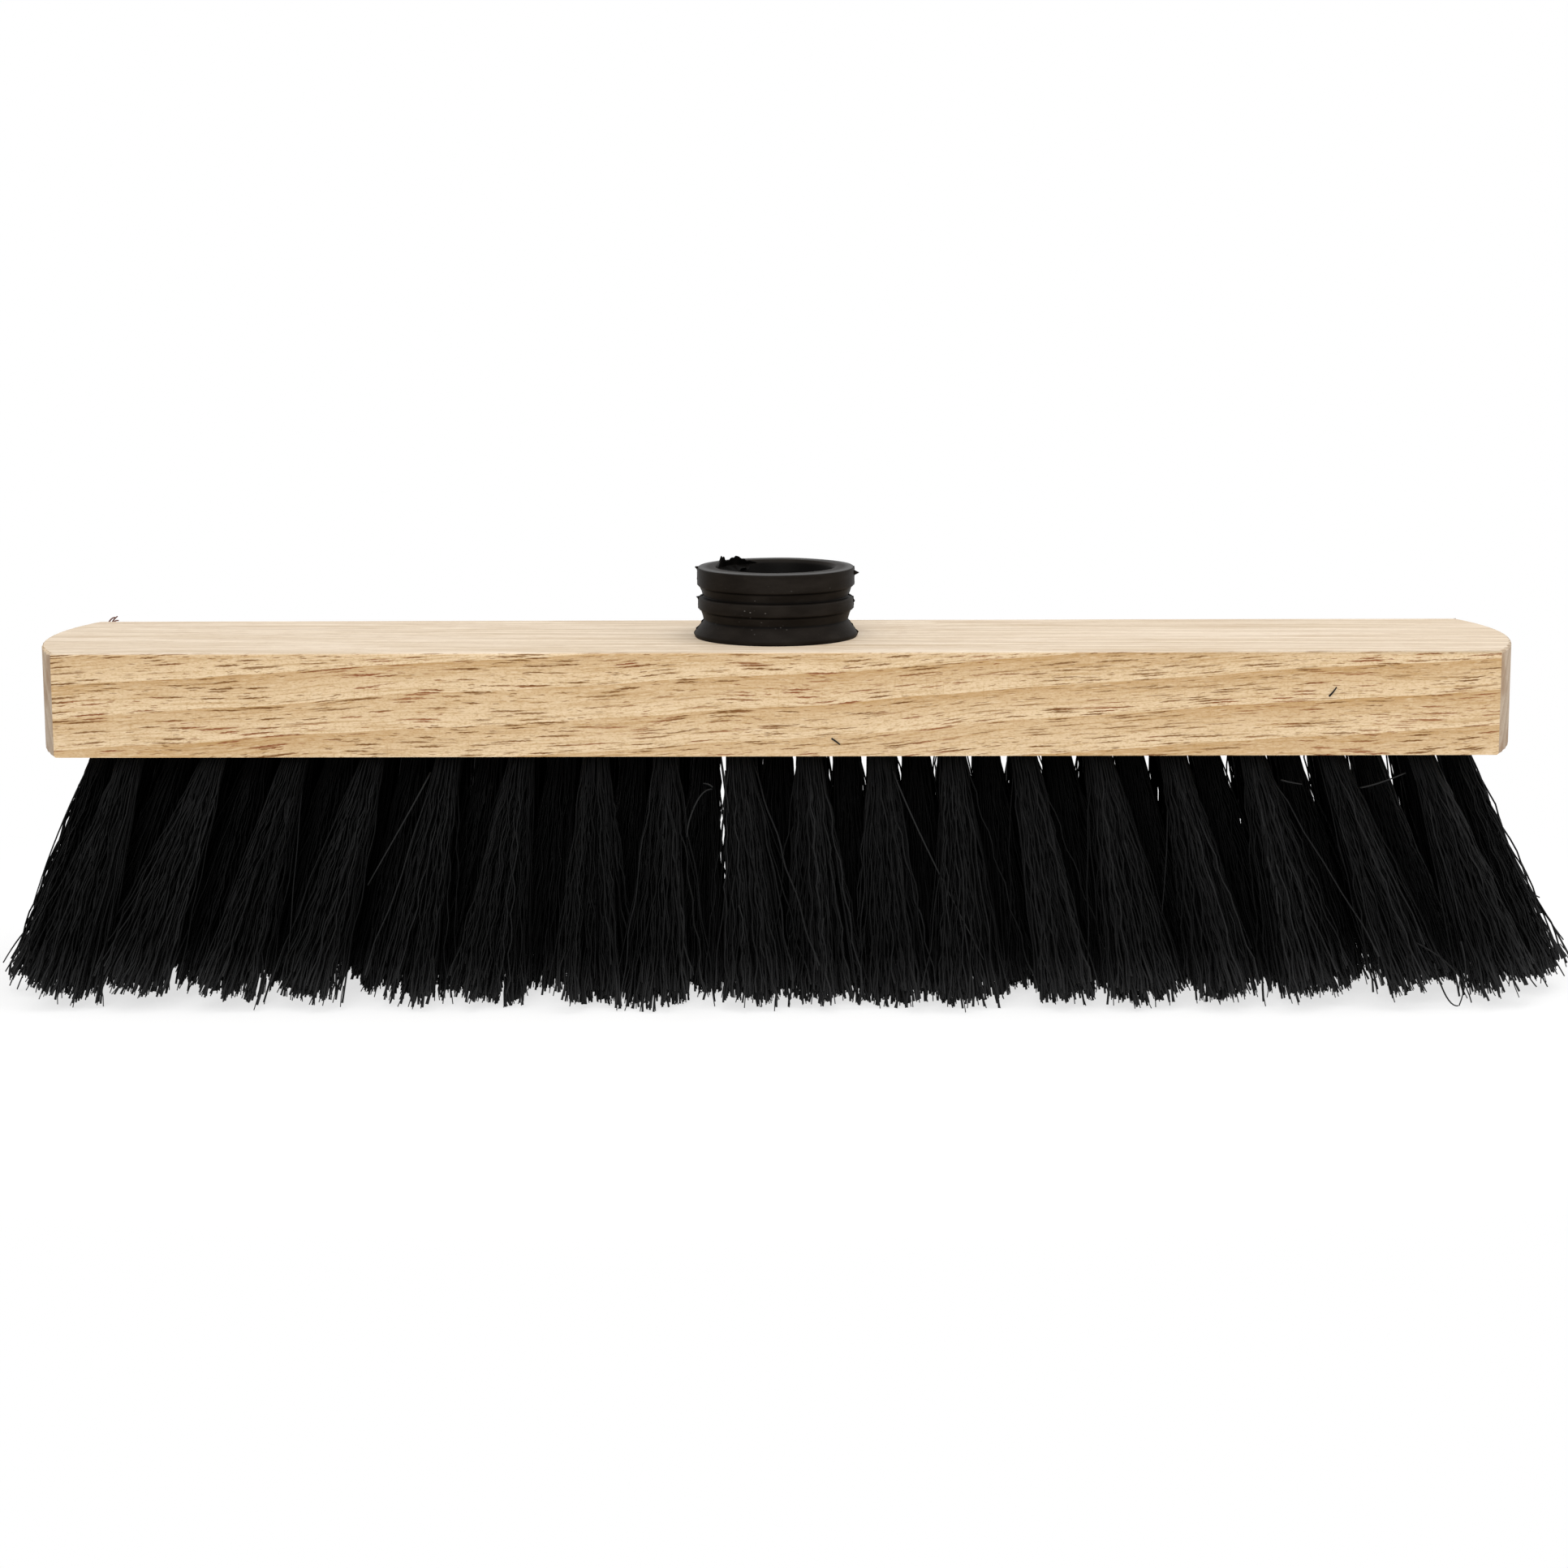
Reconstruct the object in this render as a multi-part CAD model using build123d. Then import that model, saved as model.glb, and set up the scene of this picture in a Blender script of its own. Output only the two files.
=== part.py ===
from build123d import *
import math
import os

# Push broom head: a light hardwood block with a pressed-in rubber handle socket, planted with tufts of
# crimped fibre that flat wire anchors hold in drilled holes. Millimetres, +Z up. The bristle
# tips stand on z = 0 and the handle axis is the Z axis. +X runs along the block.

# Wooden block.
BLOCK_LENGTH = 400.0
BLOCK_WIDTH = 66.0
BLOCK_HEIGHT = 28.0
END_BOW = 7.6              # how far each end curves out past the corners
EDGE_ROUND = 0.8           # sanded upper edges
END_UNDER_ROUND = 0.6      # lower edge of the two ends

# Tufts: five staggered rows, the second and fourth one tuft longer than the others.
BRISTLE_LENGTH = 65.0      # block underside to bristle tips
ROW_COUNT = 5
LONG_ROW_TUFT_COUNT = 19
END_MARGIN = 15.8          # end of the block to the last hole of a long row
SIDE_MARGIN = 9.0          # long side of the block to the outer rows
END_STRETCH = 0.078        # how much wider the spacing in a row gets towards its ends
ROW_SKEW = 0.35            # how far each row sits past the row in front of it, towards +X
FLARE_LENGTHWISE = 24.4    # how far the last tuft of a long row leans out, root to tip
FLARE_SIDEWAYS = 11.5      # how far an outer row leans out, root to tip
TUFT_HOLE_RADIUS = 3.5
TUFT_HOLE_DEPTH = 11.0
TUFT_ROOT_CLEARANCE = 0.1   # fibre bundle inside the mouth of its hole
TIP_RADIUS = 8.4           # fibre bundle at its tip
TUFT_SIDES = 16            # flats around a bundle

# Flat wire anchors, driven across the fold of each tuft with their ends bitten into the wood.
ANCHOR_THICKNESS = 0.5
ANCHOR_DEPTH = 2.0         # along the hole
ANCHOR_BITE = 0.8          # into the wood at each end
FOLD_ROOM = 1.5            # fibre between the anchor and the end of the hole

# Handle socket, collar above the block. Heights are above the block's top.
COLLAR_HEIGHT = 19.15
RIM_RADIUS = 21.4
RIM_DEPTH = 5.4            # height of the top ring
MIDDLE_RADIUS = 21.2
MIDDLE_TOP = 11.2
MIDDLE_DEPTH = 3.8         # height of the middle ring
NECK_STEP = 0.8            # neck inside the ring above it
NECK_TAPER = 0.8           # how much further the neck narrows towards the ring below
FOOT_TOP = 4.7
FOOT_RADIUS = 22.4
FOOT_EDGE = 1.0            # thickness of the foot's outer edge
FOOT_TUCK = 0.3            # foot's edge drawn in where it meets the wood
SHOULDER_DROP = 0.35       # slope of each ring's upper shoulder
COLLAR_ROUND = 0.5

# Handle socket, bore and barrel.
GRIP_RADIUS = 14.0         # bore that grips a 28 mm handle
GRIP_LENGTH = 24.0
MOUTH_RADIUS = 15.75
MOUTH_CHAMFER = 0.85
BARREL_RADIUS = 18.0       # over the ribs, a press fit in the wood
BARREL_LENGTH = 13.0       # into the block
BARREL_RIBS = 3
RIB_PROUD = 0.7

# Levels and plan sizes that follow from these.
BLOCK_BOTTOM = BRISTLE_LENGTH
BLOCK_TOP = BLOCK_BOTTOM + BLOCK_HEIGHT
SOCKET_FLOOR = BLOCK_TOP - BARREL_LENGTH
RIM_TOP = BLOCK_TOP + COLLAR_HEIGHT
CORNER_X = BLOCK_LENGTH / 2 - END_BOW
SIDE_Y = BLOCK_WIDTH / 2
OUTER_ROOT_X = BLOCK_LENGTH / 2 - END_MARGIN
OUTER_ROOT_Y = SIDE_Y - SIDE_MARGIN
ROW_SPACING = 2 * OUTER_ROOT_Y / (ROW_COUNT - 1)
SPREAD_X = (OUTER_ROOT_X + FLARE_LENGTHWISE) / OUTER_ROOT_X
SPREAD_Y = (OUTER_ROOT_Y + FLARE_SIDEWAYS) / OUTER_ROOT_Y
TUFT_ROOT_RADIUS = TUFT_HOLE_RADIUS - TUFT_ROOT_CLEARANCE
COLUMN_COUNT = 2 * LONG_ROW_TUFT_COUNT - 1


def column_rows(column):
    """Rows that have a tuft in this column: even columns fill the long rows."""
    return [row for row in range(ROW_COUNT) if row % 2 != column % 2]


def root(column, row):
    """Where a tuft leaves the block. Columns count from 0 at -X and rows from 0 at -Y."""
    middle_column = (COLUMN_COUNT - 1) / 2
    rows_off_middle = row - (ROW_COUNT - 1) / 2
    reach = (column - middle_column) / middle_column
    x = OUTER_ROOT_X * (reach + END_STRETCH * reach**3) / (1 + END_STRETCH)
    return Vector(x + rows_off_middle * ROW_SKEW, rows_off_middle * ROW_SPACING, BLOCK_BOTTOM)


def tip(column, row):
    """Middle of a tuft's trimmed end: the tufts lean outwards, lengthwise and sideways."""
    start = root(column, row)
    return Vector(start.X * SPREAD_X, start.Y * SPREAD_Y, 0)


def tuft_plane(column, row):
    """Plane at the mouth of a hole, its Z axis up the hole and its Y axis across the grain."""
    start = root(column, row)
    return Plane(origin=start, x_dir=(1, 0, 0), z_dir=start - tip(column, row))


def drill(column, row):
    """The drilled hole as a solid, started below the wood so that it cuts through the face."""
    run_out = TUFT_HOLE_RADIUS
    length = TUFT_HOLE_DEPTH + run_out
    cutter = Cylinder(TUFT_HOLE_RADIUS, length, align=(Align.CENTER, Align.CENTER, Align.MIN))
    return tuft_plane(column, row) * Pos(0, 0, -run_out) * cutter


def anchor(column, row):
    span = 2 * (TUFT_HOLE_RADIUS + ANCHOR_BITE)
    seat = TUFT_HOLE_DEPTH - FOLD_ROOM - ANCHOR_DEPTH / 2
    return tuft_plane(column, row) * Pos(0, 0, seat) * Box(ANCHOR_THICKNESS, span, ANCHOR_DEPTH)


def bundle_outline(middle, radius):
    """Level section of a bundle: a circle drawn with flats."""
    turns = [2 * math.pi * side / TUFT_SIDES for side in range(TUFT_SIDES)]
    corners = [(radius * math.cos(turn), radius * math.sin(turn)) for turn in turns]
    return Pos(middle) * make_face(Polyline(*corners, close=True))


def tuft(column, row):
    """One tuft: the folded stub that fills its hole, and the bundle that fans out below."""
    stub = split(drill(column, row), Plane.XY.offset(BLOCK_BOTTOM), keep=Keep.TOP)
    root_end = bundle_outline(root(column, row), TUFT_ROOT_RADIUS)
    tip_end = bundle_outline(tip(column, row), TIP_RADIUS)
    bundle = loft([tip_end, root_end], ruled=True)
    return stub + bundle - anchor(column, row)


def planting():
    return [(column, row) for column in range(COLUMN_COUNT) for row in column_rows(column)]


def block():
    """Wooden block: straight sides, bowed ends, a blind seat for the socket and drilled holes."""
    end_x = BLOCK_LENGTH / 2
    outline = [
        Line((-CORNER_X, -SIDE_Y), (CORNER_X, -SIDE_Y)),
        ThreePointArc((CORNER_X, -SIDE_Y), (end_x, 0), (CORNER_X, SIDE_Y)),
        Line((CORNER_X, SIDE_Y), (-CORNER_X, SIDE_Y)),
        ThreePointArc((-CORNER_X, SIDE_Y), (-end_x, 0), (-CORNER_X, -SIDE_Y)),
    ]
    wood = extrude(Pos(0, 0, BLOCK_BOTTOM) * make_face(outline), BLOCK_HEIGHT)
    wood = fillet(wood.faces().sort_by(Axis.Z)[-1].edges(), EDGE_ROUND)
    end_edges = wood.faces().sort_by(Axis.Z)[0].edges().filter_by(GeomType.CIRCLE)
    wood = fillet(end_edges, END_UNDER_ROUND)
    seat = Cylinder(BARREL_RADIUS, BARREL_LENGTH, align=(Align.CENTER, Align.CENTER, Align.MIN))
    wood -= Pos(0, 0, SOCKET_FLOOR) * seat
    wood -= [drill(*place) for place in planting()]
    wood -= [anchor(*place) for place in planting()]
    return wood


def barrel_profile():
    """Outside of the barrel from its foot up: ribs that slope out and step back like barbs."""
    rib_pitch = BARREL_LENGTH / BARREL_RIBS
    points = []
    for rib in range(BARREL_RIBS):
        start = SOCKET_FLOOR + rib * rib_pitch
        points.append((BARREL_RADIUS - RIB_PROUD, start))
        points.append((BARREL_RADIUS, start + rib_pitch / 2))
        points.append((BARREL_RADIUS, start + rib_pitch * 0.75))
        points.append((BARREL_RADIUS - RIB_PROUD, start + rib_pitch * 0.75))
    points.append((BARREL_RADIUS - RIB_PROUD, BLOCK_TOP))
    return points


def collar_profile():
    """Outside of the collar from the wood up: flared foot, middle ring, top ring, two necks."""
    rim_under = COLLAR_HEIGHT - RIM_DEPTH
    middle_under = MIDDLE_TOP - MIDDLE_DEPTH
    upper_neck = RIM_RADIUS - NECK_STEP
    lower_neck = MIDDLE_RADIUS - NECK_STEP
    heights = [
        (FOOT_RADIUS - FOOT_TUCK, 0),
        (FOOT_RADIUS, FOOT_EDGE),
        (lower_neck - NECK_TAPER, FOOT_TOP),
        (lower_neck, middle_under),
        (MIDDLE_RADIUS, middle_under + SHOULDER_DROP),
        (MIDDLE_RADIUS, MIDDLE_TOP - SHOULDER_DROP),
        (upper_neck - NECK_TAPER, MIDDLE_TOP),
        (upper_neck, rim_under),
        (RIM_RADIUS, rim_under + SHOULDER_DROP),
        (RIM_RADIUS, COLLAR_HEIGHT),
    ]
    return [(radius, BLOCK_TOP + height) for radius, height in heights]


def handle_socket():
    """Moulded rubber socket: ringed collar on the block, ribbed barrel in it, tapered mouth."""
    grip_top = SOCKET_FLOOR + GRIP_LENGTH
    bore = [
        (MOUTH_RADIUS + MOUTH_CHAMFER, RIM_TOP),
        (MOUTH_RADIUS, RIM_TOP - MOUTH_CHAMFER),
        (GRIP_RADIUS, grip_top),
        (GRIP_RADIUS, SOCKET_FLOOR),
    ]
    profile = barrel_profile() + collar_profile() + bore
    section = make_face(Plane.XZ * Polyline(*profile, close=True))
    rim_edge = Vector(RIM_RADIUS, 0, RIM_TOP)
    rim_corner = section.vertices().sort_by(lambda corner: (Vector(corner) - rim_edge).length)[0]
    section = fillet(rim_corner, COLLAR_ROUND)
    return revolve(section, Axis.Z)


os.makedirs("parts", exist_ok=True)
export_step(block(), "parts/block.step")
export_step(handle_socket(), "parts/handle_socket.step")
for column in range(COLUMN_COUNT):
    tufts = [tuft(column, row) for row in column_rows(column)]
    export_step(Compound(children=tufts), f"parts/tuft_column_{column + 1:02d}.step")
for row in range(ROW_COUNT):
    anchors = [anchor(*place) for place in planting() if place[1] == row]
    export_step(Compound(children=anchors), f"parts/anchor_row_{row + 1}.step")
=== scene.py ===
import bmesh
import bpy
import math
import random
from mathutils import Matrix, Vector, noise


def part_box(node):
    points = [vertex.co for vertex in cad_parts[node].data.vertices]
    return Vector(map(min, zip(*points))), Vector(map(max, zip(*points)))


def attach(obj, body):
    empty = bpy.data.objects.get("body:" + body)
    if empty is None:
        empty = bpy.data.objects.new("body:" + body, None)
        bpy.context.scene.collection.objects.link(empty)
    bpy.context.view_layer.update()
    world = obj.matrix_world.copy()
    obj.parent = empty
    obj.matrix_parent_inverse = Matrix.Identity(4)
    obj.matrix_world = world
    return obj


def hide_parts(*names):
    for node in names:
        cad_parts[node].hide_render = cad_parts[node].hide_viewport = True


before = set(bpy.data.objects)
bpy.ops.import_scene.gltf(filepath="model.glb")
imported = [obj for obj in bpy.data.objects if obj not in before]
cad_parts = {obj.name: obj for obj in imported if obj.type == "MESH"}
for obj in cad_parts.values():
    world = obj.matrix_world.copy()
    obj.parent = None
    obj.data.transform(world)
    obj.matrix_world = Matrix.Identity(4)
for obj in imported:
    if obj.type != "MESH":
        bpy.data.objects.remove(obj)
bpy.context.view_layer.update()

# --------------------
# Wooden block
# A bar of bare light hardwood: sawn front and back, sanded top, bowed ends cut across the grain.
# Its underside is drilled for the tufts, and the socket's seat is bored in the middle of its top.

MM = 0.001
block_low, block_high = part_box("block")
block_middle = (block_low + block_high) / 2

EARLYWOOD = (0.662, 0.505, 0.323, 1)
LATEWOOD = (0.415, 0.248, 0.100, 1)
STREAK = (0.355, 0.198, 0.057, 1)
PALE_FIBRE = (0.735, 0.600, 0.412, 1)
VESSEL = (0.145, 0.058, 0.011, 1)
RED_VESSEL = (0.225, 0.072, 0.024, 1)
SMUDGE = (0.230, 0.130, 0.065, 1)
SANDED_TOP = (0.735, 0.652, 0.552, 1)
TOP_STREAK = (0.520, 0.430, 0.325, 1)
END_GRAIN = (0.430, 0.340, 0.255, 1)
RING_WIDTH = 5.6  # millimetres between growth rings, along the ring's own normal
PITH = (0.0, 62.0, -78.0)  # the tree's centre, from the middle of the block
GRAIN_RISE = 0.07  # how steeply the grain climbs along the block
VESSEL_SORTS = (  # cell in millimetres, size in parts of the cell, strength
    ((26.0, 1.3, 1.0), 0.28, 1.0),
    ((14.0, 1.0, 0.8), 0.31, 1.0),
    ((5.0, 0.7, 0.5), 0.27, 0.75),
)
WELD_DISTANCE = 0.002 * MM
BLOCK_SHARP_EDGE = 32  # degrees between faces from which an edge stays sharp
SQUARE_ON = 0.9999  # part of a normal along an axis from which its face is plane


def feed(tree, socket, value):
    """Links an output to the socket or gives it a plain value."""
    if isinstance(value, bpy.types.NodeSocket):
        tree.links.new(value, socket)
    else:
        socket.default_value = value


def add(tree, kind, links, **settings):
    """Adds a node, sets its own properties and feeds its inputs, by name or by number."""
    node = tree.nodes.new(kind)
    for name, value in settings.items():
        setattr(node, name, value)
    for socket, value in links.items():
        feed(tree, node.inputs[socket], value)
    return node


def calc(tree, operation, *values):
    return add(tree, "ShaderNodeMath", dict(enumerate(values)), operation=operation).outputs[0]


def times(tree, first, second):
    return calc(tree, "MULTIPLY", first, second)


def vector(tree, operation, *values):
    node = add(tree, "ShaderNodeVectorMath", dict(enumerate(values)), operation=operation)
    return node.outputs["Value" if operation in ("LENGTH", "DOT_PRODUCT") else "Vector"]


def scaled(tree, value, scale):
    links = {0: value, "Scale": scale}
    return add(tree, "ShaderNodeVectorMath", links, operation="SCALE").outputs[0]


def join_xyz(tree, x, y, z):
    return add(tree, "ShaderNodeCombineXYZ", {0: x, 1: y, 2: z}).outputs[0]


def ramp(tree, value, low, high, to_low=0.0, to_high=1.0):
    """Eases a value from one range into another and holds it at both ends."""
    links = dict(enumerate((value, low, high, to_low, to_high)))
    return add(tree, "ShaderNodeMapRange", links, interpolation_type="SMOOTHSTEP").outputs[0]


def cloud(tree, place, cell, detail=2.0, colour=False):
    """Noise whose lumps are as large as the cell, in millimetres."""
    links = {"Vector": vector(tree, "DIVIDE", place, cell), "Scale": 1.0, "Detail": detail}
    return add(tree, "ShaderNodeTexNoise", links).outputs[1 if colour else 0]


def specks(tree, place, cell, reach, soft):
    """Spots about the centres of scattered cells, as large as reach in parts of a cell. Returns
    how far inside a spot the place is and a random number for each cell."""
    links = {"Vector": vector(tree, "DIVIDE", place, cell), "Scale": 1.0}
    cells = add(tree, "ShaderNodeTexVoronoi", links).outputs
    number = add(tree, "ShaderNodeSeparateColor", {0: cells["Color"]}).outputs[0]
    return ramp(tree, cells["Distance"], reach, reach * soft), number


def tint(tree, amount, under, over):
    """Lays one colour over another, from not at all at 0 to fully at 1."""
    links = {0: amount, 6: under, 7: over}
    return add(tree, "ShaderNodeMix", links, data_type="RGBA", clamp_factor=True).outputs[2]


def finish_named(name, roughness, specular):
    """A new material and its parts: the node tree, the shader and the place in millimetres."""
    material = bpy.data.materials.new(name)
    material.use_nodes = True
    tree = material.node_tree
    shader = tree.nodes["Principled BSDF"]
    shader.inputs["Roughness"].default_value = roughness
    shader.inputs["Specular IOR Level"].default_value = specular
    object_place = tree.nodes.new("ShaderNodeTexCoord").outputs["Object"]
    return material, tree, shader, scaled(tree, object_place, 1 / MM)


def relief(tree, shader, height, distance, strength):
    links = {"Height": height, "Distance": distance * MM, "Strength": strength}
    feed(tree, shader.inputs["Normal"], add(tree, "ShaderNodeBump", links).outputs[0])


def facing(tree, axis):
    """How far the face at this place looks along the axis, from -1 to 1."""
    flat_normal = add(tree, "ShaderNodeNewGeometry", {}).outputs["True Normal"]
    return vector(tree, "DOT_PRODUCT", flat_normal, axis)


def bent_grain(tree, place):
    """Coordinates that all that grew in the wood follows: along the block, into it and up
    through the rings. The grain climbs along the block and wanders."""
    along, inward, upward = add(tree, "ShaderNodeSeparateXYZ", {0: place}).outputs
    drift = calc(tree, "SUBTRACT", cloud(tree, place, (140.0, 70.0, 45.0), 1.5), 0.5)
    waver = calc(tree, "SUBTRACT", cloud(tree, place, (26.0, 9.0, 9.0), 2.0), 0.5)
    level = calc(tree, "MULTIPLY_ADD", along, -GRAIN_RISE, upward)
    level = calc(tree, "MULTIPLY_ADD", drift, 17.0, level)
    level = calc(tree, "MULTIPLY_ADD", waver, 1.1, level)
    return along, calc(tree, "MULTIPLY_ADD", drift, 8.0, inward), level


def growth(tree, depth, level):
    """How far a ring has grown at this place, from 0 to 1 at its sharp outer edge."""
    from_pith = vector(tree, "SUBTRACT", join_xyz(tree, 0.0, depth, level), PITH)
    ring = calc(tree, "DIVIDE", vector(tree, "LENGTH", from_pith), RING_WIDTH)
    return calc(tree, "FRACT", ring)


def sawn_colour(tree, place, grain, late, streak):
    """Pale wood that darkens outwards in each ring, with brown streaks, grit and pale fibres."""
    patch = ramp(tree, cloud(tree, grain, (120.0, 14.0, 14.0)), 0.3, 0.7, 0.5, 1.0)
    colour = tint(tree, times(tree, late, patch), EARLYWOOD, LATEWOOD)
    colour = tint(tree, ramp(tree, streak, 0.45, 0.72, 0.0, 0.5), colour, STREAK)
    grit = cloud(tree, place, (0.8, 0.35, 0.35), 2.0)
    colour = tint(tree, ramp(tree, grit, 0.45, 0.72, 0.0, 0.45), colour, STREAK)
    pale = cloud(tree, vector(tree, "ADD", grain, (31.0, 17.0, 5.0)), (3.0, 0.4, 0.3), 2.0)
    return tint(tree, ramp(tree, pale, 0.52, 0.74, 0.0, 0.4), colour, PALE_FIBRE)


def open_vessels(tree, place, bent, grown):
    """How strongly a vessel shows: a thin groove where the saw opened one of the wood's pores
    lengthwise. Vessels come in drifts and along the rings' edges, each with its own strength."""
    along, depth, level = bent
    frayed = calc(tree, "MULTIPLY_ADD", cloud(tree, place, (1.3, 0.7, 0.6), 3.0), 0.5, level)
    opened = join_xyz(tree, along, depth, frayed)
    crowd = cloud(tree, join_xyz(tree, *bent), (38.0, 7.0, 5.0))
    crowd = ramp(tree, crowd, 0.36, 0.54, 0.75, 1.0)
    edge = calc(tree, "PINGPONG", calc(tree, "ADD", grown, 0.05), 0.5)
    crowd = calc(tree, "MAXIMUM", crowd, ramp(tree, edge, 0.03, 0.13, 1.0, 0.0))
    broken = ramp(tree, cloud(tree, place, (2.2, 0.6, 0.6), 2.0), 0.3, 0.55, 0.5, 1.0)
    vessel = 0.0
    for number, (cell, reach, strength) in enumerate(VESSEL_SORTS):
        apart = vector(tree, "ADD", opened, (47.0 * number, 13.0 * number, 7.0 * number))
        spot, luck = specks(tree, apart, cell, reach, 0.55)
        luck = ramp(tree, luck, 0.0, 0.4, 0.0, strength)
        vessel = calc(tree, "MAXIMUM", vessel, times(tree, spot, luck))
    return times(tree, vessel, times(tree, crowd, broken))


def saw_marks(tree, place):
    """Faint upright scratches, worn away in places."""
    scratch = cloud(tree, place, (0.55, 400.0, 9.0), 1.0)
    worn = ramp(tree, cloud(tree, place, (45.0, 60.0, 9.0)), 0.42, 0.62)
    return times(tree, ramp(tree, scratch, 0.6, 0.75), worn)


def end_grain(tree, place, late):
    """Dull wood cut across: fine pores, the dark part of each ring and a few smudges."""
    pores = specks(tree, place, (0.8, 0.8, 0.8), 0.42, 0.3)[0]
    dull = tint(tree, times(tree, pores, 0.35), END_GRAIN, VESSEL)
    dull = tint(tree, times(tree, late, 0.35), dull, VESSEL)
    smudge = ramp(tree, cloud(tree, place, (14.0, 14.0, 9.0), 3.0), 0.48, 0.66, 0.0, 0.7)
    return tint(tree, smudge, dull, SMUDGE)


def bare_hardwood():
    material, tree, shader, place = finish_named("bare_hardwood", roughness=0.62, specular=0.2)
    place = vector(tree, "SUBTRACT", place, tuple(value / MM for value in block_middle))
    bent = bent_grain(tree, place)
    grain = join_xyz(tree, *bent)
    grown = growth(tree, *bent[1:])
    late = calc(tree, "POWER", grown, 1.4)
    streak = cloud(tree, grain, (22.0, 0.5, 0.42), 3.0)
    colour = sawn_colour(tree, place, grain, late, streak)

    # Which way a face looks: the sanded top is paler and the ends show dull end grain.
    on_top = ramp(tree, facing(tree, (0.0, 0.0, 1.0)), 0.3, 0.95)
    on_end = ramp(tree, calc(tree, "ABSOLUTE", facing(tree, (1.0, 0.0, 0.0))), 0.55, 0.9)
    fine = cloud(tree, grain, (90.0, 2.0, 4.0), 3.0)
    sanded = tint(tree, ramp(tree, fine, 0.35, 0.7), SANDED_TOP, TOP_STREAK)
    colour = tint(tree, times(tree, on_top, 0.66), colour, sanded)

    # Sanding hides most of the vessels, and the ends show none. Each lies in a paler stain.
    shown = calc(tree, "SUBTRACT", 1.0, times(tree, on_top, 0.85))
    shown = times(tree, shown, calc(tree, "SUBTRACT", 1.0, on_end))
    vessel = times(tree, open_vessels(tree, place, bent, grown), shown)
    stain = times(tree, calc(tree, "SQRT", vessel), 0.45)
    colour = tint(tree, stain, colour, STREAK)
    redder = ramp(tree, cloud(tree, place, (34.0, 9.0, 7.0)), 0.48, 0.62)
    colour = tint(tree, vessel, colour, tint(tree, redder, VESSEL, RED_VESSEL))
    scratch = calc(tree, "SUBTRACT", 1.0, on_top)
    scratch = times(tree, saw_marks(tree, place), scratch)
    colour = tint(tree, times(tree, scratch, 0.3), colour, LATEWOOD)
    dull = end_grain(tree, place, late)
    colour = tint(tree, times(tree, on_end, 0.85), colour, dull)
    feed(tree, shader.inputs["Base Color"], colour)

    height = calc(tree, "MULTIPLY_ADD", vessel, -1.0, times(tree, streak, 0.35))
    height = calc(tree, "MULTIPLY_ADD", scratch, -0.3, height)
    relief(tree, shader, height, distance=0.25, strength=0.5)
    return material


def placed(name, data):
    """Puts a new object into the scene."""
    piece = bpy.data.objects.new(name, data)
    bpy.context.scene.collection.objects.link(piece)
    return piece


def painted(mesh, material, sharp_degrees=180):
    """Gives a mesh its only material and shades it smooth between its sharp edges."""
    mesh.materials.clear()
    mesh.materials.append(material)
    mesh.shade_smooth()
    mesh.set_sharp_from_angle(angle=math.radians(sharp_degrees))


def dressed_copy(node, name, material, sharp_degrees):
    """A copy of a CAD node with its loose triangles joined. Faces that lie square to the
    block's width or height are plane and stay flat."""
    piece = placed(name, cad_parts[node].data.copy())
    joined = bmesh.new()
    joined.from_mesh(piece.data)
    bmesh.ops.remove_doubles(joined, verts=joined.verts, dist=WELD_DISTANCE)
    joined.to_mesh(piece.data)
    joined.free()
    painted(piece.data, material, sharp_degrees)
    for face in piece.data.polygons:
        face.use_smooth = max(abs(face.normal.y), abs(face.normal.z)) < SQUARE_ON
    return piece


hardwood = bare_hardwood()
block = dressed_copy("block", "wooden_block", hardwood, BLOCK_SHARP_EDGE)
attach(block, "root")
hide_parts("block")

# --------------------
# Handle socket
# One moulding of matt black rubber. The ringed collar stands on the block, and a barrel with
# barbed ribs is pressed into the seat below it. The bore narrows from its mouth to grip a handle.

socket_low, socket_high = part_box("handle_socket")
socket_axis = (socket_low + socket_high) / 2
seat_depth = block_high.z - socket_low.z
collar_height = socket_high.z - block_high.z
foot_radius = (socket_high.x - socket_low.x) / 2

RUBBER = (0.0076, 0.0057, 0.0042, 1)
RUBBER_WORN = (0.0138, 0.0110, 0.0087, 1)
RUBBER_SHADED = (0.0010, 0.0010, 0.0010, 1)
RUBBER_DUST = (0.16, 0.15, 0.14, 1)
RUBBER_RIM_HIGHLIGHT = (0.076, 0.075, 0.074, 1)
DUSTY_PLACE = (-6.0, -21.0, 101.0)  # where most of the dust has settled
RIM_RADIUS = 21.4 * MM
MIDDLE_RADIUS = 21.2 * MM
FOOT_TOP = 4.7 * MM
LOWER_NECK_TOP = 7.2 * MM
MIDDLE_TOP = 11.2 * MM
UPPER_NECK_TOP = 13.6 * MM
CREASES = (0.0, FOOT_TOP, LOWER_NECK_TOP, MIDDLE_TOP, UPPER_NECK_TOP)
FOOT_EDGE = 1.0 * MM
FOOT_TUCK = 0.3 * MM
RING_LIP = 0.4 * MM  # height over which a ring's lower edge comes out from its neck
SHOULDER_DROP = 0.35 * MM
NECK_STEP = 0.8 * MM  # neck inside the ring above it
NECK_TAPER = 0.8 * MM  # how much further the neck narrows towards the ring below
MOUTH_RADIUS = 15.75 * MM
MOUTH_CHAMFER = 0.85 * MM
GRIP_RADIUS = 14.0 * MM
GRIP_LENGTH = 24.0 * MM
BARREL_RADIUS = 18.0 * MM
RIB_PROUD = 0.7 * MM
RIB_COUNT = 3
OUT_OF_TRUE = 0.16 * MM
SOCKET_SHARP_EDGE = 38
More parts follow.
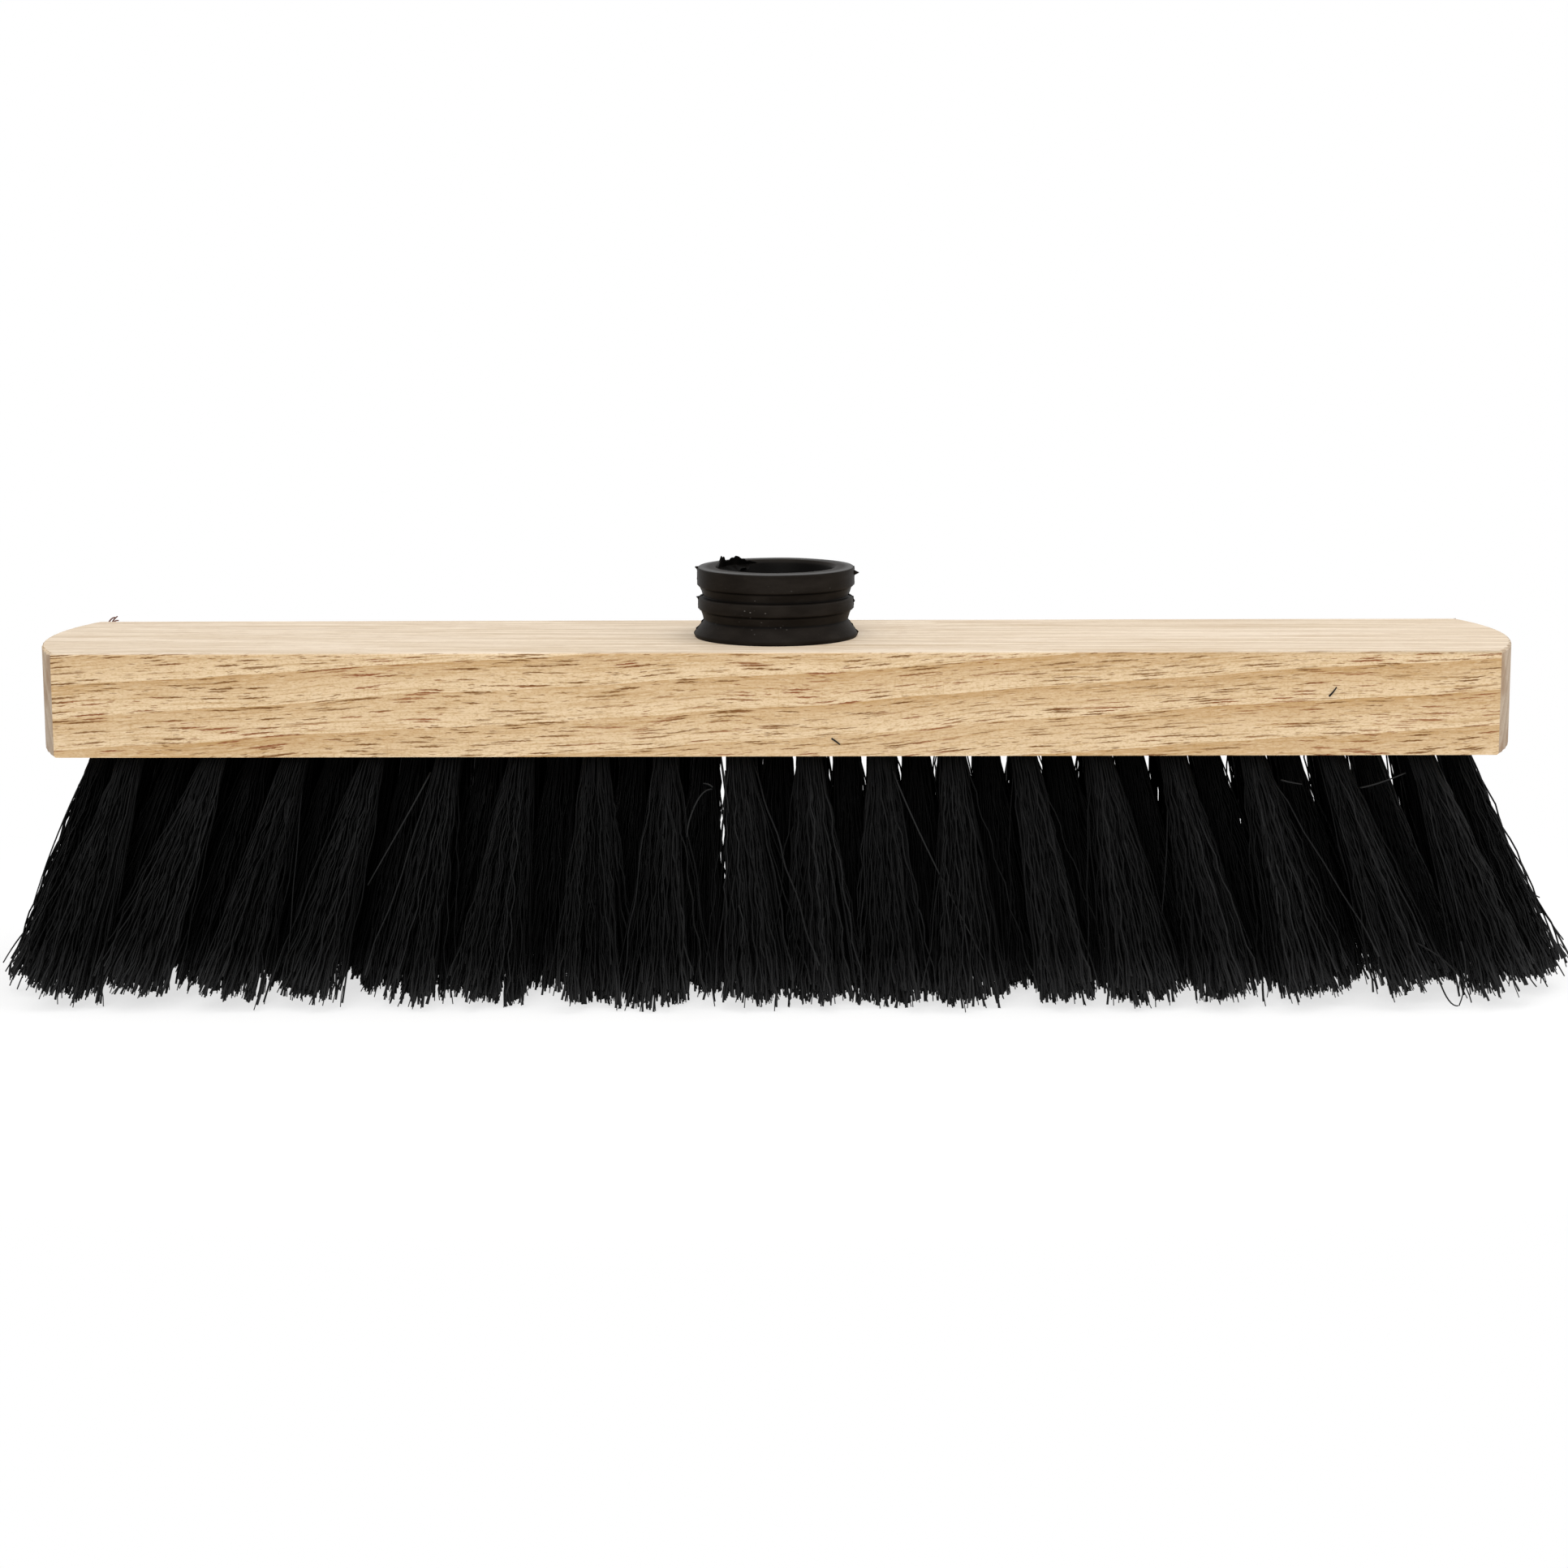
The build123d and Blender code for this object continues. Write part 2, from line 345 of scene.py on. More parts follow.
LATHE_STEPS = 144
ARC_STEPS = 4


def pulled_curve(start, pull, end, steps):
    """Points of the smooth curve from start to end that a third point pulls towards itself."""
    points = []
    for step in range(steps + 1):
        t = step / steps
        points.append(start * (1 - t) ** 2 + pull * 2 * t * (1 - t) + end * t * t)
    return points


def rounded(corners):
    """Outline through (radius, height, rounding) corners, each turned into a short arc."""
    outline = []
    count = len(corners)
    for place, (radius, height, rounding) in enumerate(corners):
        here = Vector((radius, height))
        before = Vector(corners[place - 1][:2]) - here
        after = Vector(corners[(place + 1) % count][:2]) - here
        reach = min(rounding, 0.45 * before.length, 0.45 * after.length)
        start = here + before.normalized() * reach
        end = here + after.normalized() * reach
        outline += pulled_curve(start, here, end, ARC_STEPS) if reach else [here]
    return outline


def collar_corners():
    """The collar from the wood up: flared foot, middle ring, top ring and a neck under each."""
    lower_neck = MIDDLE_RADIUS - NECK_STEP
    upper_neck = RIM_RADIUS - NECK_STEP
    return [
        (foot_radius - FOOT_TUCK, 0.0, 0.0),
        (foot_radius, FOOT_EDGE, 0.6 * MM),
        (lower_neck - NECK_TAPER, FOOT_TOP, 0.25 * MM),
        (lower_neck, LOWER_NECK_TOP, 0.3 * MM),
        (MIDDLE_RADIUS, LOWER_NECK_TOP + RING_LIP, 0.7 * MM),
        (MIDDLE_RADIUS, MIDDLE_TOP - SHOULDER_DROP, 0.45 * MM),
        (upper_neck - NECK_TAPER, MIDDLE_TOP, 0.25 * MM),
        (upper_neck, UPPER_NECK_TOP, 0.3 * MM),
        (RIM_RADIUS, UPPER_NECK_TOP + RING_LIP, 0.8 * MM),
        (RIM_RADIUS, collar_height, 0.7 * MM),
    ]


def socket_outline():
    """The whole moulding: ribbed barrel, collar, mouth and tapered bore."""
    barrel = []
    rib_pitch = seat_depth / RIB_COUNT
    for rib in range(RIB_COUNT):
        start = rib * rib_pitch - seat_depth
        barrel += [
            (BARREL_RADIUS - RIB_PROUD, start, 0.0),
            (BARREL_RADIUS, start + rib_pitch / 2, 0.15 * MM),
            (BARREL_RADIUS, start + rib_pitch * 0.75, 0.1 * MM),
            (BARREL_RADIUS - RIB_PROUD, start + rib_pitch * 0.75, 0.1 * MM),
        ]
    barrel.append((BARREL_RADIUS - RIB_PROUD, 0.0, 0.0))
    bore = [
        (MOUTH_RADIUS + MOUTH_CHAMFER, collar_height, 0.3 * MM),
        (MOUTH_RADIUS, collar_height - MOUTH_CHAMFER, 0.3 * MM),
        (GRIP_RADIUS, GRIP_LENGTH - seat_depth, 0.4 * MM),
        (GRIP_RADIUS, -seat_depth, 0.0),
    ]
    return rounded(barrel + collar_corners() + bore)


def turned(name, outline, wobble):
    """Turns a closed outline about the socket's axis, a little out of true as moulded rubber is.
    What lies in the wood stays true."""
    mesh = bpy.data.meshes.new(name)
    vertices = []
    for step in range(LATHE_STEPS):
        turn = 2 * math.pi * step / LATHE_STEPS
        for radius, height in outline:
            probe = Vector((math.cos(turn) * 2.0, math.sin(turn) * 2.0, height / (9 * MM)))
            drawn = wobble * noise.noise(probe) if height > 0.5 * MM else 0.0
            reach = radius + drawn
            x = socket_axis.x + reach * math.cos(turn)
            y = socket_axis.y + reach * math.sin(turn)
            vertices.append((x, y, block_high.z + height + 0.4 * drawn))
    count = len(outline)
    faces = []
    for step in range(LATHE_STEPS):
        this_ring = step * count
        next_ring = (step + 1) % LATHE_STEPS * count
        for place in range(count):
            after = (place + 1) % count
            faces.append((this_ring + place, next_ring + place, next_ring + after, this_ring + after))
    mesh.from_pydata(vertices, [], faces)
    mesh.update()
    return mesh


def settled_dust(tree, place):
    """Specks of dust, in patches and round one place in particular."""
    dust = specks(tree, place, (1.9, 1.9, 1.3), 0.16, 0.3)[0]
    settled = ramp(tree, cloud(tree, place, (11.0, 11.0, 5.0)), 0.64, 0.74, 0.0, 0.55)
    from_dusty = vector(tree, "LENGTH", vector(tree, "SUBTRACT", place, DUSTY_PLACE))
    settled = calc(tree, "MAXIMUM", settled, ramp(tree, from_dusty, 2.0, 7.0, 0.9, 0.0))
    return times(tree, dust, settled)


def creases(tree, above_wood):
    """Painted shade in the creases between the rings and the necks and where the foot meets the wood.
    """
    crease_shade = 0.0
    for height in CREASES:
        away = calc(tree, "ABSOLUTE", calc(tree, "SUBTRACT", above_wood, height / MM))
        crease_shade = calc(tree, "MAXIMUM", crease_shade, ramp(tree, away, 0.1, 0.45, 0.7, 0.0))
    return crease_shade


def moulded_rubber():
    material, tree, shader, place = finish_named("moulded_rubber", roughness=0.5, specular=0.04)
    mottle = cloud(tree, place, (9.0, 9.0, 3.0), 4.0)
    colour = tint(tree, ramp(tree, mottle, 0.35, 0.75), RUBBER, RUBBER_WORN)

    # Painted shade darkens the bore and the creases, and a painted highlight makes the rim paler
    # towards its outer edge.
    from_axis = vector(tree, "LENGTH", vector(tree, "MULTIPLY", place, (1.0, 1.0, 0.0)))
    above_wood = vector(tree, "DOT_PRODUCT", place, (0.0, 0.0, 1.0))
    above_wood = calc(tree, "SUBTRACT", above_wood, block_high.z / MM)
    mouth = MOUTH_RADIUS / MM
    # Painted shade: everything within the mouth's radius is darkened, all the way down the bore.
    inside = ramp(tree, from_axis, mouth - 0.3, mouth + 0.7, 0.8, 0.0)
    colour = tint(tree, inside, colour, RUBBER_SHADED)
    colour = tint(tree, creases(tree, above_wood), colour, RUBBER_SHADED)
    # Painted highlight: the top of the rim grows paler towards its outer edge.
    rim_top = collar_height / MM
    on_rim = ramp(tree, above_wood, rim_top - 1.5, rim_top - 1)
    on_rim = times(tree, ramp(tree, facing(tree, (0.0, 0.0, 1.0)), 0.5, 0.95), on_rim)
    rim_highlight = ramp(tree, from_axis, mouth + 2.4, RIM_RADIUS / MM - 0.6)
    colour = tint(tree, times(tree, on_rim, rim_highlight), colour, RUBBER_RIM_HIGHLIGHT)

    dust = settled_dust(tree, place)
    colour = tint(tree, times(tree, dust, 0.7), colour, RUBBER_DUST)
    feed(tree, shader.inputs["Base Color"], colour)
    skin = cloud(tree, place, (0.7, 0.7, 0.7), 3.0)
    height = calc(tree, "MULTIPLY_ADD", dust, 0.8, skin)
    relief(tree, shader, height, distance=0.12, strength=0.35)
    return material


rubber = moulded_rubber()
socket_mesh = turned("rubber_socket", socket_outline(), OUT_OF_TRUE)
painted(socket_mesh, rubber, SOCKET_SHARP_EDGE)
handle_socket = placed("rubber_socket", socket_mesh)
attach(handle_socket, "root")
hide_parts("handle_socket")

# --------------------
# Moulding flash
# Thin ragged skins of rubber left where the two halves of the mould met, at both sides of the
# collar, and a torn flap inside the mouth where the core was pulled out.

FLASH_THICKNESS = 0.35 * MM
FIN_STEP = 0.25 * MM
FIN_ROOT = 0.3 * MM  # how deep a fin is rooted in the collar
FLAP_STEPS = 40
FLASH_SHARP_EDGE = 40
SPIKE_REACH = 0.75  # millimetres from a spike's middle to its foot
# The spikes are (height above the wood, length) and the flap's peaks (part of the way round,
# width, rise), with heights, lengths and rises in millimetres.
LEFT_SPIKES = ((18.9, 0.8), (10.8, 0.7), (4.2, 0.5), (2.3, 0.5))
RIGHT_SPIKES = ((17.3, 1.6), (9.6, 0.5), (3.2, 0.4), (1.2, 0.4))
STANDING_PEAKS = ((0.2, 0.19, 2.2), (0.4, 0.4, 0.8), (0.6, 0.2, 1.4))
HANGING_PEAKS = ((0.3, 0.2, 0.8), (0.8, 0.1, 1.0))


def close_up(shape, rings):
    """Skins the rings of the bmesh's vertices one after the other and closes both ends."""
    sides = len(rings[0])
    for this, following in zip(rings, rings[1:]):
        for side in range(sides):
            other = (side + 1) % sides
            shape.faces.new((this[side], this[other], following[other], following[side]))
    shape.faces.new(rings[0][::-1])
    shape.faces.new(rings[-1])


def torn_strip(shape, stations, thickness):
    """Adds a closed strip to the bmesh, thick along its base and sharp along its torn edge."""
    rings = []
    for place, (base, edge) in enumerate(stations):
        before = stations[max(place - 1, 0)][0]
        after = stations[min(place + 1, len(stations) - 1)][0]
        across = (after - before).cross(edge - base).normalized() * thickness / 2
        corners = (base - across, base + across, edge + across / 4, edge - across / 4)
        rings.append([shape.verts.new(corner) for corner in corners])
    close_up(shape, rings)


def mesh_of(shape, name):
    bmesh.ops.recalc_face_normals(shape, faces=shape.faces)
    mesh = bpy.data.meshes.new(name)
    shape.to_mesh(mesh)
    shape.free()
    return mesh


def collar_radius(height):
    """Outer radius of the collar at a height above the block."""
    corners = collar_corners()
    for lower, upper in zip(corners, corners[1:]):
        if lower[1] <= height <= upper[1]:
            return lower[0] + (upper[0] - lower[0]) * (height - lower[1]) / (upper[1] - lower[1])
    return corners[-1][0]


def fin_stations(side, spikes):
    """Stations of a fin up one side of the collar, with a ragged edge and a few longer spikes."""
    stations = []
    steps = int(collar_height / FIN_STEP)
    for step in range(steps + 1):
        height = collar_height * step / steps
        radius = collar_radius(height)
        ragged = noise.noise(Vector((height / (0.9 * MM), side * 3.0, 0.0)))
        reach = (0.12 + 0.3 * max(ragged, 0.0)) * MM
        for centre, length in spikes:
            nearness = max(0.0, 1 - abs(height / MM - centre) / SPIKE_REACH)
            reach = max(reach, length * nearness * MM)
        base = Vector((side * (radius - FIN_ROOT), 0, height))
        edge = Vector((side * (radius + reach), 0.5 * ragged * MM, height))
        stations.append((base, edge))
    return stations


def flap_stations(first_turn, last_turn, peaks, drop, seed):
    """Stations of a torn flap round the inside of the mouth, from one turn in degrees to
    another. Between its peaks its edge hangs as far below the rim as drop says, and it narrows
    to almost nothing at both ends."""
    stations = []
    for step in range(FLAP_STEPS + 1):
        part = step / FLAP_STEPS
        turn = math.radians(first_turn + (last_turn - first_turn) * part)
        rises = [0.0]
        for middle, width, peak in peaks:
            rises.append(peak * min(1.0, 1.5 - 1.5 * abs(part - middle) / width))
        ragged = noise.noise(Vector((part * 15, seed, 5.0)))
        rise = (max(rises) - drop + 0.5 * ragged) * MM
        lean = (0.6 + 0.4 * drop + 0.8 * noise.noise(Vector((part * 9, seed, 1.0)))) * MM
        outward = Vector((math.cos(turn), math.sin(turn), 0))
        base = outward * (MOUTH_RADIUS + 0.4 * MM) + Vector((0, 0, collar_height - 0.9 * MM))
        edge = outward * (MOUTH_RADIUS - lean) + Vector((0, 0, collar_height + rise))
        whole = min(1.0, 0.1 + 7 * min(part, 1 - part))
        stations.append((base, base.lerp(edge, whole)))
    return stations


flash_shape = bmesh.new()
for side, spikes in ((-1, LEFT_SPIKES), (1, RIGHT_SPIKES)):
    torn_strip(flash_shape, fin_stations(side, spikes), FLASH_THICKNESS)
standing = flap_stations(182, 108, STANDING_PEAKS, drop=0.0, seed=2.0)
torn_strip(flash_shape, standing, 2 * FLASH_THICKNESS)
hanging = flap_stations(182, 116, HANGING_PEAKS, drop=2.8, seed=8.0)
torn_strip(flash_shape, hanging, FLASH_THICKNESS)
socket_foot = (socket_axis.x, socket_axis.y, block_high.z)
bmesh.ops.translate(flash_shape, verts=flash_shape.verts, vec=socket_foot)
flash_mesh = mesh_of(flash_shape, "socket_flash")
painted(flash_mesh, rubber, FLASH_SHARP_EDGE)
flash = placed("socket_flash", flash_mesh)
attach(flash, "root")

# --------------------
# Tufts
# Bundles of crimped black fibre, each folded once and pulled into its hole. They fan out below
# the wood, are trimmed together, and have split, brushed-out ends. One piece for each column.

COLUMN_COUNT = 37
ROW_COUNT = 5
FIBRE_BLACK = (0.0024, 0.0024, 0.0024, 1)
FIBRE_INNER_SHADE = (0.0010, 0.0010, 0.0010, 1)
FIBRE_GREY = (0.0122, 0.0122, 0.0124, 1)
FIBRE_ENDS = (0.0200, 0.0200, 0.0204, 1)

END_MARGIN = 15.8 * MM  # end of the block to the last hole of a long row
SIDE_MARGIN = 9.0 * MM  # long side of the block to the outer rows
END_STRETCH = 0.078  # how much wider a row's spacing gets towards its ends
ROW_SKEW = 0.35 * MM  # how far each row sits past the one in front
FLARE_LENGTHWISE = 24.4 * MM  # lean of a long row's last tuft, root to tip
FLARE_SIDEWAYS = 11.5 * MM  # lean of an outer row, root to tip
ROOT_RADIUS = 3.2 * MM
TIP_RADIUS = 8.4 * MM
INNER_SPREAD = 0.95  # how far a tuft fans out, in parts of the tip radius
OUTER_SPREAD = 1.15
ROOT_SCATTER = 0.3  # millimetres, like the leans: how uneven the tufts are
LEAN_LENGTHWISE = 0.9
LEAN_SIDEWAYS = 0.8
FIBRES_PER_TUFT = 200  # both legs of about 100 folded fibres
OUTER_KNOTS = 20  # knots along a fibre, fewer in the rows that the outer ones hide
SECOND_KNOTS = 12
MIDDLE_KNOTS = 8
SPLIT_KNOTS = 3
END_REACH = 0.93  # from here outwards a column counts as an end of the head
GOLDEN_ANGLE = 2.39996
FULL_TURN = 6.283
ROOT_VALUES = {"tip": "FLOAT_VECTOR", "outward": "FLOAT_VECTOR", "spread": "FLOAT",
               "inner": "FLOAT", "knots": "INT"}

# In millimetres along the block: how far the tips of the front row's tufts sway, how far the
# tips of whole columns lean aside, and how far columns stand off their even places.
FRONT_SWAY = (2.5, -2.5, -1.5, -4.5, 1, -0.5, 6, 2, 6, 3, 0, -2.5, 2.5, 1.5, 0.5, -1, 2.5, 1)
PARTING = {0: 3.0, 16: -0.3, 17: 3.7, 18: 1.0}
SHIFTED = {0: 2.0, 26: -0.6, 28: -0.9, 29: -0.5, 30: -1.0, 32: -1.1, 33: -0.5, 34: -0.9,
           35: 1.0, 36: 0.5}

outer_root_x = (block_high.x - block_low.x) / 2 - END_MARGIN
outer_root_y = (block_high.y - block_low.y) / 2 - SIDE_MARGIN
row_step = 2 * outer_root_y / (ROW_COUNT - 1)
spread_x = (outer_root_x + FLARE_LENGTHWISE) / outer_root_x
spread_y = (outer_root_y + FLARE_SIDEWAYS) / outer_root_y
chance_of_lean = random.Random(20)


def keep(tree, points, kind, value):
    """Fixes a value on the points as they are now, so that their duplicates carry it along."""
    node = tree.nodes.new("GeometryNodeCaptureAttribute")
    node.capture_items.new(kind, "Kept")
    feed(tree, node.inputs[0], points)
    feed(tree, node.inputs[1], value)
    return node.outputs[0], node.outputs[1]


def given(tree, name, kind):
    links = {"Name": name}
    return add(tree, "GeometryNodeInputNamedAttribute", links, data_type=kind).outputs[0]


def chance(tree, low, high, counter, seed, offset):
    number = calc(tree, "ADD", seed, offset)
    links = {2: low, 3: high, "ID": counter, "Seed": number}
    return add(tree, "FunctionNodeRandomValue", links, data_type="FLOAT").outputs[1]


def scatter(tree, reach, counter, seed, offset):
    """A random vector, each part of it between minus and plus the reach."""
    number = calc(tree, "ADD", seed, offset)
    links = {0: (-1.0, -1.0, -1.0), 1: (1.0, 1.0, 1.0), "ID": counter, "Seed": number}
    node = add(tree, "FunctionNodeRandomValue", links, data_type="FLOAT_VECTOR")
    return scaled(tree, node.outputs[0], reach)


def pick(tree, choice, if_false, if_true, kind="FLOAT"):
    links = {0: choice, 1: if_false, 2: if_true}
    return add(tree, "GeometryNodeSwitch", links, input_type=kind).outputs[0]


def duplicates(tree, points, count):
    """Copies of each point, and the number of each copy as a value kept on it."""
    copies = add(tree, "GeometryNodeDuplicateElements", {0: points, 2: count}, domain="POINT")
    return keep(tree, copies.outputs[0], "INT", copies.outputs[1])


def fibre_inputs(tree):
    """Names the inputs and the output of the node tree and returns its input node's outputs."""
    lengths = ("Root Radius", "Tip Radius", "Bristle Length", "Held Length", "Fibre Radius")
    lengths += ("Crimp Height", "Crimp Pitch", "Whisker Reach", "Pointedness", "Lowest Tip")
    sockets = {"Roots": "Geometry", "Material": "Material"} | dict.fromkeys(lengths, "Float")
    sockets |= dict.fromkeys(("Fibre Count", "Hidden Knots", "Seed"), "Int")
    for name, kind in sockets.items():
        tree.interface.new_socket(name, in_out="INPUT", socket_type="NodeSocket" + kind)
    tree.interface.new_socket("Fibres", in_out="OUTPUT", socket_type="NodeSocketGeometry")
    return tree.nodes.new("NodeGroupInput").outputs


def planted(tree, size, index):
    """Points for the fibres, over each round bundle like the seeds of a sunflower. Returns them
    with their tuft's number, their own and their place in the bundle."""
    points = add(tree, "GeometryNodeMeshToPoints", {0: size["Roots"]}).outputs[0]
    points, tuft = keep(tree, points, "INT", index)
    fibres = size["Fibre Count"]
    points, order = duplicates(tree, points, fibres)
    points, fibre = keep(tree, points, "INT", index)
    ring = calc(tree, "SQRT", calc(tree, "DIVIDE", calc(tree, "ADD", order, 0.5), fibres))
    turn = calc(tree, "MULTIPLY_ADD", order, GOLDEN_ANGLE, times(tree, tuft, 1.7))
    flat_x = times(tree, ring, calc(tree, "COSINE", turn))
    flat_y = times(tree, ring, calc(tree, "SINE", turn))
    place = join_xyz(tree, flat_x, flat_y, 0.0)
    place = vector(tree, "ADD", place, scatter(tree, 0.08, fibre, size["Seed"], 1))
    points, place = keep(tree, points, "VECTOR", place)
    return points, tuft, fibre, place


def aims(tree, size, tuft, fibre, place):
    """Where each fibre heads, from the middle of its tuft's tip. Neighbours keep together as
    locks and gather in points, and a few strays wander off. Returns the lock's own drift and
    the point's chance numbers too."""
    seed = size["Seed"]
    lock = scaled(tree, place, 1.5)
    lock = vector(tree, "ADD", lock, join_xyz(tree, times(tree, tuft, 5.3), seed, 0.0))
    lock = cloud(tree, lock, (1.0, 1.0, 1.0), 1.0, colour=True)
    lock = vector(tree, "SUBTRACT", lock, (0.5, 0.5, 0.5))
    aside = calc(tree, "MULTIPLY_ADD", tuft, 7.7, times(tree, seed, 0.31))
    aside = join_xyz(tree, aside, 0.0, 0.0)
    links = {"Vector": vector(tree, "MULTIPLY_ADD", place, (3.2, 3.2, 0.0), aside), "Scale": 1.0}
    point = add(tree, "ShaderNodeTexVoronoi", links, voronoi_dimensions="2D")
    to_point = vector(tree, "SUBTRACT", point.outputs["Position"], aside)
    backwards = scaled(tree, place, -1)
    to_point = vector(tree, "MULTIPLY_ADD", to_point, (0.31, 0.31, 0.0), backwards)
    aim = vector(tree, "ADD", place, scaled(tree, to_point, size["Pointedness"]))
    astray = ramp(tree, chance(tree, 0.0, 1.0, fibre, seed, 2), 0.86, 1.0)
    wander = calc(tree, "MULTIPLY_ADD", astray, 1.25, 0.11)
    aim = vector(tree, "MULTIPLY_ADD", aim, (0.8, 0.8, 0.0), scatter(tree, wander, fibre, seed, 3))
    aim = vector(tree, "MULTIPLY_ADD", lock, (2.6, 2.6, 0.0), aim)
    aim = scaled(tree, aim, given(tree, "spread", "FLOAT"))
    return scaled(tree, aim, size["Tip Radius"]), lock, point.outputs["Color"]


def trimmed_end(tree, lock, numbers, fibre, seed):
    """Where each fibre ends, in parts of the bristle's length: locks and points end unevenly,
    and some fibres are short."""
    trim = vector(tree, "DOT_PRODUCT", lock, (0.0, 0.0, 0.15))
    short = ramp(tree, chance(tree, 0.0, 1.0, fibre, seed, 5), 0.8, 1.0, 0.0, -0.1)
    trim = calc(tree, "ADD", trim, short)
    trim = calc(tree, "ADD", trim, vector(tree, "DOT_PRODUCT", numbers, (0.07, 0.0, 0.0)))
    return calc(tree, "ADD", trim, chance(tree, 0.94, 0.975, fibre, seed, 4))


def crimped(tree, size, course, reach, along, fibre):
    """Moves the course aside in two crossing waves and a wide bow that grow below the wood."""
    seed = size["Seed"]
    height = times(tree, size["Crimp Height"], ramp(tree, along, 0.02, 0.2))
    pitch = times(tree, size["Crimp Pitch"], chance(tree, 0.8, 1.25, fibre, seed, 8))
    swing = times(tree, calc(tree, "DIVIDE", reach, pitch), 2 * math.pi)
    first = calc(tree, "ADD", swing, chance(tree, 0.0, FULL_TURN, fibre, seed, 9))
    first = times(tree, calc(tree, "SINE", first), height)
    second = calc(tree, "MULTIPLY_ADD", swing, 0.61, chance(tree, 0.0, FULL_TURN, fibre, seed, 10))
    second = times(tree, calc(tree, "SINE", second), 0.7)
    second = times(tree, second, height)
    bow = calc(tree, "SINE", times(tree, along, math.pi))
    bow = times(tree, bow, chance(tree, -2.2, 2.2, fibre, seed, 11))
    second = calc(tree, "MULTIPLY_ADD", bow, height, second)
    side = chance(tree, 0.0, FULL_TURN, fibre, seed, 12)
    cosine = calc(tree, "COSINE", side)
    sine = calc(tree, "SINE", side)
    across = join_xyz(tree, cosine, sine, 0.0)
    course = vector(tree, "ADD", course, scaled(tree, across, first))
    across = join_xyz(tree, times(tree, sine, -1.0), cosine, 0.0)
    return vector(tree, "ADD", course, scaled(tree, across, second))


def swept(tree, size, curves, thickness):
    """Closed three-sided fibres along the curves, real and with their material."""
    section = add(tree, "GeometryNodeCurvePrimitiveCircle", {"Resolution": 3, "Radius": 1.0})
    links = {0: curves, 1: section.outputs[0], "Scale": thickness, "Fill Caps": True}
    fibres = add(tree, "GeometryNodeCurveToMesh", links).outputs[0]
    fibres = add(tree, "GeometryNodeSetShadeSmooth", {0: fibres}).outputs[0]
    fibres = add(tree, "GeometryNodeRealizeInstances", {0: fibres}).outputs[0]
    links = {0: fibres, "Material": size["Material"]}
    return add(tree, "GeometryNodeSetMaterial", links).outputs[0]


def fibre_tree():
    """Node tree that plants each root point with fibres and sweeps them down to their tips."""
    tree = bpy.data.node_groups.new("planted_fibres", "GeometryNodeTree")
    tree.is_modifier = True
    size = fibre_inputs(tree)
    seed = size["Seed"]
    index = tree.nodes.new("GeometryNodeInputIndex").outputs[0]
    position = tree.nodes.new("GeometryNodeInputPosition").outputs[0]
    points, tuft, fibre, place = planted(tree, size, index)
    aim, lock, numbers = aims(tree, size, tuft, fibre, place)
    start = vector(tree, "ADD", position, scaled(tree, place, size["Root Radius"]))
    tip = vector(tree, "ADD", given(tree, "tip", "FLOAT_VECTOR"), aim)
    heading = vector(tree, "NORMALIZE", vector(tree, "SUBTRACT", tip, start))
    shows = vector(tree, "DOT_PRODUCT", place, given(tree, "outward", "FLOAT_VECTOR"))
    shows = calc(tree, "GREATER_THAN", shows, 0.02)
    knots = pick(tree, shows, size["Hidden Knots"], given(tree, "knots", "INT"), "INT")

    # Each fibre has a finer twin, the split end, which leaves it near the tip.
    points, whisker = duplicates(tree, points, 2)
    points, strand = keep(tree, points, "INT", index)
    end = trimmed_end(tree, lock, numbers, fibre, seed)
    held = calc(tree, "DIVIDE", size["Held Length"], size["Bristle Length"])
    held = times(tree, held, -1.0)
    begin = pick(tree, whisker, held, calc(tree, "SUBTRACT", end, 0.07))
    split = calc(tree, "ADD", end, chance(tree, -0.01, 0.02, fibre, seed, 6))
    points, knots = keep(tree, points, "INT", pick(tree, whisker, knots, SPLIT_KNOTS, "INT"))
    points, begin = keep(tree, points, "FLOAT", begin)
    points, end = keep(tree, points, "FLOAT", pick(tree, whisker, end, split))

    # Knots along each strand, moved out onto its crimped course.
    points, knot = duplicates(tree, points, knots)
    part = calc(tree, "DIVIDE", knot, calc(tree, "SUBTRACT", knots, 1))
    along = calc(tree, "MULTIPLY_ADD", calc(tree, "SUBTRACT", end, begin), part, begin)
    reach = times(tree, along, size["Bristle Length"])
    course = vector(tree, "ADD", start, scaled(tree, heading, reach))
    course = crimped(tree, size, course, reach, along, fibre)
    splay = scatter(tree, times(tree, whisker, size["Whisker Reach"]), fibre, seed, 7)
    course = vector(tree, "ADD", course, scaled(tree, splay, part))
    course = vector(tree, "MAXIMUM", course, join_xyz(tree, -1.0, -1.0, size["Lowest Tip"]))

    # Fibres flare a little at the cut, and their split ends are finer.
    flared = ramp(tree, along, 0.92, 0.97, 1.0, 1.3)
    thickness = times(tree, size["Fibre Radius"], pick(tree, whisker, flared, 0.6))
    points, thickness = keep(tree, points, "FLOAT", thickness)
    shade = chance(tree, 0.0, 1.0, fibre, seed, 13)
    for name, value in (("shade", shade), ("along", along)):
        links = {0: points, "Name": name, "Value": value}
        points = add(tree, "GeometryNodeStoreNamedAttribute", links, data_type="FLOAT").outputs[0]
    points = add(tree, "GeometryNodeSetPosition", {0: points, "Position": course}).outputs[0]
    curves = add(tree, "GeometryNodePointsToCurves", {0: points, 1: strand, 2: knot}).outputs[0]
    output = tree.nodes.new("NodeGroupOutput")
    feed(tree, output.inputs[0], swept(tree, size, curves, thickness))
    return tree


